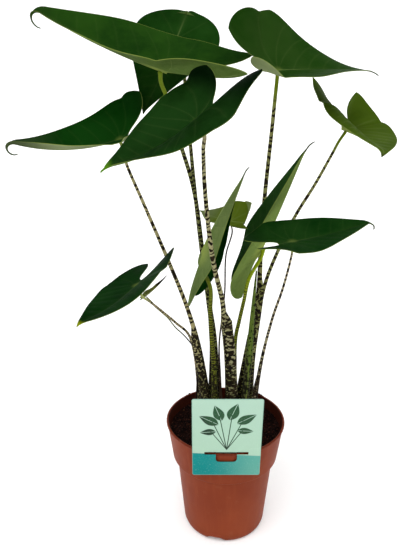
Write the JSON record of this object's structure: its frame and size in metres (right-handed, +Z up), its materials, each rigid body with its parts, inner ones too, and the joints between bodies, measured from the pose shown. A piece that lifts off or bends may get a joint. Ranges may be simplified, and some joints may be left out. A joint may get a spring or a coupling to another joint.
{
  "type": "potted zebrina alocasia",
  "caption": "Tall house plant with arrow-shaped green leaves on slim zebra-banded stalks, growing from peat in a round terracotta-coloured nursery pot with a hanging plant card.",
  "frame": {"origin": "centre of the pot's underside, on the surface the pot stands on", "axes": "+Z up along the pot's axis, -Y the side seen in the picture where the card hangs, +X to that view's right"},
  "size_m": [0.4791, 0.2908, 0.7219],
  "materials": {
    "pot_plastic": "terracotta-coloured semi-matte injection-moulded plastic",
    "card": null,
    "soil": null,
    "leaf_blade": null,
    "leaf_stalk": null,
    "withered_leaf": "dry brown and olive leaf",
    "young_leaf": "smooth olive-green rolled young leaf"
  },
  "bodies": {
    "root": {"pot": "pot_plastic", "label_card": "card", "soil": "soil", "front_leaf_blade": "leaf_blade", "front_leaf_stalk": "leaf_stalk", "left_leaf_blade": "leaf_blade", "left_leaf_stalk": "leaf_stalk", "top_left_leaf_blade": "leaf_blade", "top_left_leaf_stalk": "leaf_stalk", "back_leaf_blade": "leaf_blade", "back_leaf_stalk": "leaf_stalk", "top_right_leaf_blade": "leaf_blade", "top_right_leaf_stalk": "leaf_stalk", "right_leaf_blade": "leaf_blade", "right_leaf_stalk": "leaf_stalk", "low_right_leaf_blade": "leaf_blade", "low_right_leaf_stalk": "leaf_stalk", "low_left_leaf_blade": "leaf_blade", "low_left_leaf_stalk": "leaf_stalk", "inner_left_leaf_blade": "leaf_blade", "inner_left_leaf_stalk": "leaf_stalk", "inner_right_leaf_blade": "leaf_blade", "inner_right_leaf_stalk": "leaf_stalk", "small_back_leaf_blade": "leaf_blade", "small_back_leaf_stalk": "leaf_stalk", "withered_leaf_blade": "withered_leaf", "withered_leaf_stalk": "withered_leaf", "spear": "young_leaf"}
  },
  "joints": []
}
